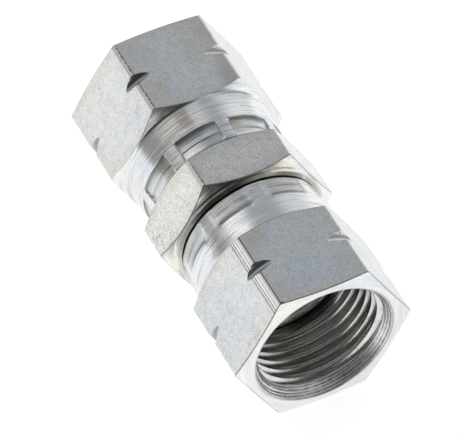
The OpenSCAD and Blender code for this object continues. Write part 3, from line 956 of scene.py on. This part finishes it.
def half_body(angle, hexagon):
    """Rows from the middle of the hexagon to the middle of the bore. The face beside the nut lies in the
    nut's shade, which is deepest on top, where the nut hides it from the light."""
    half = Outline(angle)
    half.add(0, hexagon, FLAT)
    half.between(chamfer_station(hexagon) - BEVEL - 0.08, hexagon, 3, FLAT)
    # The 0.8s, the 0.35 and the 0.4 are painted dark lines at the chamfer's bevel and the flat ring, a
    # painted reflection, and painted shade at the face beside the nut.
    half.add(chamfer_station(hexagon) - BEVEL, hexagon, TURNED, 0.8)
    inner = hexagon - BEVEL * 0.8
    half.add(chamfer_station(inner), inner, TURNED, 0.8)
    half.add(chamfer_station(inner - 0.08), inner - 0.08, TURNED)
    half.between(HEX_FACE_X, BODY_RING_R, 4, TURNED)
    half.add(HEX_FACE_X + 0.03, BODY_RING_R - 0.08, TURNED, 0.35)
    half.add(FACE_X, FACE_R, TURNED, 0.4)
    root_r = NECK_R + NECK_ROOT_R
    shade = 0.1 + 0.8 * np.clip(0.25 + np.cos(angle - np.radians(100)), 0, 1)
    half.between(FACE_X, root_r, 4, TURNED, shade)
    for t in np.radians([15, 30, 45, 60, 75, 90]):
        half.add(FACE_X + NECK_ROOT_R * (1 - np.cos(t)), root_r - NECK_ROOT_R * np.sin(t), TURNED, shade)
    half.add(COLLAR_BACK_X - COLLAR_R + NECK_R, NECK_R, TURNED)
    half.add(COLLAR_BACK_X, COLLAR_R, TURNED)
    half.add(NOSE_X - NOSE_CHAMFER, COLLAR_R, TURNED)
    half.add(NOSE_X, COLLAR_R - NOSE_CHAMFER, TURNED)
    half.add(NOSE_X, SEAT_R + 0.05, TURNED)
    half.add(NOSE_X - 0.05, SEAT_R - 0.02, TURNED)
    half.between(SEAT_END_X, BORE_R, 10, INSIDE)
    half.between(0, BORE_R, 4, INSIDE)
    return half


def body_outline():
    """The half's rows, and then the same rows backwards with their stations' signs changed."""
    angle = columns(corner_keys(BODY_AF, BODY_EDGE_R, 5), BODY_STEP)
    hexagon = hexagon_radius(angle, BODY_AF, BODY_EDGE_R)
    half = half_body(angle, hexagon)
    whole = Outline(angle)
    whole.x = half.x + [-x for x in half.x[-2:0:-1]]
    whole.r = half.r + half.r[-2:0:-1]
    whole.finish = half.finish[:-1] + half.finish[-2::-1]
    whole.mark = half.mark + half.mark[-2:0:-1]
    whole.joins = list(range(len(whole.x)))
    flat_end = chamfer_station(hexagon) - BEVEL
    whole.measure_flats(-flat_end, flat_end, BODY_AF, 1)
    return whole


body = make_piece("body_shell", body_outline(), 1, [body_flats, body_turning, body_inside])

# %% [markdown]
# ## Hang the pieces on the frame
# Each dressed piece stands for one solid and moves with that solid's body, so the nuts turn on their
# joints as the CAD model's do.

# %% Ride and replace
for piece, node, rider, plating in (
    (front_nut, "front_swivel_nut", "front_nut", "nut_plating"),
    (back_nut, "back_swivel_nut", "back_nut", "nut_plating"),
    (body, "union_body", "fitting_body", "body_plating"),
):
    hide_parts(node)
    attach(piece, rider)
    print(piece.name, "stands for", node, "and rides on", rider)

# %% [markdown]
# ## Floor and light
# The photograph was taken on a bright white sheet that fills the whole view, with soft light from all
# round and a dark room behind the camera. The sheet is a pale floor that glows a little, as lit acrylic
# does. The surroundings are a soft grey dome that is dark towards the camera, with brighter sheets at the
# sides, because plated metal shows mostly what stands round it.

# %% Floor
FLOOR_Z, FLOOR_HALF = -NUT_AF / 2, 4000.0
ground = [(x * FLOOR_HALF, y * FLOOR_HALF, FLOOR_Z) for x, y in ((-1, -1), (1, -1), (1, 1), (-1, 1))]
sheet = bpy.data.meshes.new("floor")
sheet.from_pydata(np.array(ground) * MM, [], [(0, 1, 2, 3)])
floor = bpy.data.objects.new("floor", sheet)
bpy.context.scene.collection.objects.link(floor)
white = Finish(bpy.data.materials.new("white_sheet"))
acrylic = {"Base Color": (0.55, 0.55, 0.55, 1), "Roughness": 0.9}
acrylic.update({"Emission Color": WHITE, "Emission Strength": 0.84})
paper = white.node("ShaderNodeBsdfPrincipled", None, acrylic)
white.node("ShaderNodeOutputMaterial", None, {"Surface": paper})
sheet.materials.append(white.holder)
print("the floor lies", -FLOOR_Z, "mm below the axis")

# %% Surroundings
world = bpy.data.worlds.new("studio")
bpy.context.scene.world = world
studio = Finish(world)
direction = studio.node("ShaderNodeTexCoord", None, None)
dark_room = towards(studio, direction, (0.85, -0.35, 0.40), 30, 62)
low_dark = towards(studio, direction, (0.97, 0.24, 0.06), 12, 32)
left_sheet = towards(studio, direction, (-0.76, -0.40, 0.52), 6, 24)
right_sheet = towards(studio, direction, (-0.46, 0.84, 0.30), 10, 38)
top_sheet = towards(studio, direction, (-0.38, 0.05, 0.92), 3, 15)
front_sheet = towards(studio, direction, (0.68, 0.44, 0.58), 4, 24)
level = 0.42 - 0.39 * dark_room - 0.12 * low_dark
level = level + 0.61 * left_sheet + 0.38 * right_sheet + 0.24 * top_sheet + 0.30 * front_sheet
level = level.math("MAXIMUM", 0.05)
overhead = towards(studio, direction, (-0.5, 0.35, 0.79), 8, 55)
tint = studio.mix(overhead, WHITE, (0.95, 0.985, 1.045, 1))
backdrop = studio.node("ShaderNodeBackground", None, {"Color": tint, "Strength": level})
studio.node("ShaderNodeOutputWorld", None, {"Surface": backdrop})
print("the surroundings have", len(studio.tree.nodes), "nodes")

# %% [markdown]
# ## Camera
# The camera was solved from the corners of the three hexagons in the photograph. It stands far away with
# a long lens, about 49 degrees up, so the picture has almost no perspective. The angles are in radians,
# the distance and the offsets in widths across the nuts' flats, and the focal length in pixels.

# %% Place the camera
AZIMUTH, ELEVATION, DISTANCE, FOCAL_PX = 1.11612644, 0.857618719, 35.9741039, 6013.85428
OFF_X, OFF_Y = -0.0419264, -0.0369706
IMAGE_W, SENSOR = 463, 36.0
back_x, back_y = np.sin(AZIMUTH) * np.cos(ELEVATION), -np.cos(AZIMUTH) * np.cos(ELEVATION)
back_dir = Vector((back_x, back_y, np.sin(ELEVATION)))
right_dir = Vector((np.cos(AZIMUTH), np.sin(AZIMUTH), 0))
up_dir = back_dir.cross(right_dir)
eye = (right_dir * OFF_X + up_dir * OFF_Y + back_dir * DISTANCE) * NUT_AF * MM
lens = bpy.data.cameras.new("camera")
lens.sensor_width, lens.lens = SENSOR, FOCAL_PX * SENSOR / IMAGE_W
lens.clip_start, lens.clip_end = 0.05, 50
camera = bpy.data.objects.new("camera", lens)
camera.matrix_world = Matrix.Translation(eye) @ Matrix((right_dir, up_dir, back_dir)).transposed().to_4x4()
bpy.context.scene.collection.objects.link(camera)
bpy.context.scene.camera = camera
bpy.context.scene.view_settings.view_transform = "Standard"
print("camera", [round(v, 3) for v in eye], "m, lens", round(lens.lens, 1), "mm")

# %% [markdown]
# The dressed model has to stay inside the CAD model's box.
